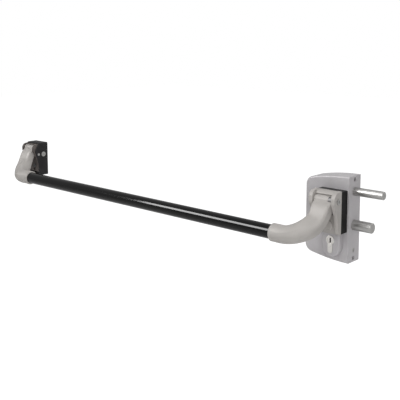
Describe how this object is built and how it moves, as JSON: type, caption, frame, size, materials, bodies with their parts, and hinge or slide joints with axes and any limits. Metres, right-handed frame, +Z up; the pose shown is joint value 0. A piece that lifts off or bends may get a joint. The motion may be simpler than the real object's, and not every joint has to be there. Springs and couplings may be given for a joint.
{
  "type": "panic bar for a gate",
  "caption": "Push bar on two cast arms that turns a rack and pinion to draw a gate's latch bolt, with a keyed dead bolt.",
  "frame": {"origin": "centre of the lock case's seat, the flat side that meets the gate post", "axes": "+X along the bar towards the bolts, -Y towards the person who pushes, +Z up"},
  "size_m": [1.0246, 0.1621, 0.161],
  "materials": {
    "case_silver": "painted silver, satin",
    "cast_grey": "as cast, fine grain",
    "black_tube": "gloss black anodised",
    "black_cast": "satin black powder coat",
    "black_hood": "matte black",
    "black_plastic": "moulded, matte",
    "stainless": "turned",
    "nickel": "satin nickel",
    "hard_steel": "machined",
    "spring_steel": "drawn wire",
    "bronze": "sintered"
  },
  "bodies": {
    "frame_side": {"lock_case": "case_silver", "case_lid": "case_silver", "lid_screws": "stainless", "cylinder_guard": "case_silver", "rear_guard": "case_silver", "key_cylinder": "nickel", "key_screw": "stainless", "latch_spring": "spring_steel", "rack_guide": "black_plastic", "spacer_block": "black_cast", "left_spacer": "black_cast", "right_yoke": "cast_grey", "left_yoke": "cast_grey", "right_yoke_screws": "stainless", "left_yoke_screws": "stainless", "right_axle": "stainless", "right_axle_clip": "spring_steel", "left_axle": "stainless", "left_hood": "black_hood", "hood_screws": "stainless", "hood_pins": "stainless"},
    "push_bar": {"right_arm": "cast_grey", "left_arm": "cast_grey", "bar_tube": "black_tube", "bar_grub_screws": "stainless", "right_bushes": "bronze", "left_bushes": "bronze", "sector_gear": "hard_steel", "sector_dowels": "hard_steel"},
    "lift_rack": {"rack": "hard_steel"},
    "turning_spindle": {"pinion": "hard_steel", "spindle": "hard_steel", "follower": "hard_steel"},
    "latch": {"latch_bolt": "stainless", "latch_tail": "hard_steel"},
    "key_turning": {"key_plug": "nickel", "key_cam": "hard_steel"},
    "outside_key": {"rear_key_plug": "nickel"},
    "dead_lock": {"dead_bolt": "stainless", "dead_bolt_tail": "hard_steel"}
  },
  "joints": [
    {"name": "bar_push", "type": "hinge", "parent": "frame_side", "child": "push_bar", "pos_m": [-0.03, -0.051, 0.04], "axis": [1, 0, 0], "range_deg": [0, 24], "stiffness_Nm_per_rad": 4, "springref_deg": -34.38},
    {"name": "rack_slide", "type": "slide", "parent": "frame_side", "child": "lift_rack", "axis": [0, 0, 1], "range_m": [0, 0.00671]},
    {"name": "spindle_turn", "type": "hinge", "parent": "frame_side", "child": "turning_spindle", "pos_m": [-0.03, 0, 0.0125], "axis": [0, 1, 0], "range_deg": [-40.01, 0]},
    {"name": "latch_slide", "type": "slide", "parent": "frame_side", "child": "latch", "axis": [1, 0, 0], "range_m": [-0.01871, 0], "deforming": ["latch_spring"]},
    {"name": "key_turn", "type": "hinge", "parent": "frame_side", "child": "key_turning", "pos_m": [-0.03, 0, -0.0385], "axis": [0, 1, 0], "range_deg": [0, 90.01]},
    {"name": "dead_slide", "type": "slide", "parent": "frame_side", "child": "dead_lock", "axis": [1, 0, 0], "range_m": [0, 0.02]},
    {"name": "outside_key_turn", "type": "hinge", "parent": "frame_side", "child": "outside_key", "pos_m": [-0.03, 0.02, -0.0385], "axis": [0, 1, 0], "range_deg": [0, 90]}
  ],
  "couplings": [
    {"joint": "rack_slide", "follows": "bar_push", "m_per_rad": 0.016},
    {"joint": "spindle_turn", "follows": "bar_push", "ratio": -1.6667},
    {"joint": "latch_slide", "follows": "bar_push", "m_per_rad": -0.044643},
    {"joint": "key_turn", "follows": "dead_slide", "rad_per_m": 78.54}
  ]
}
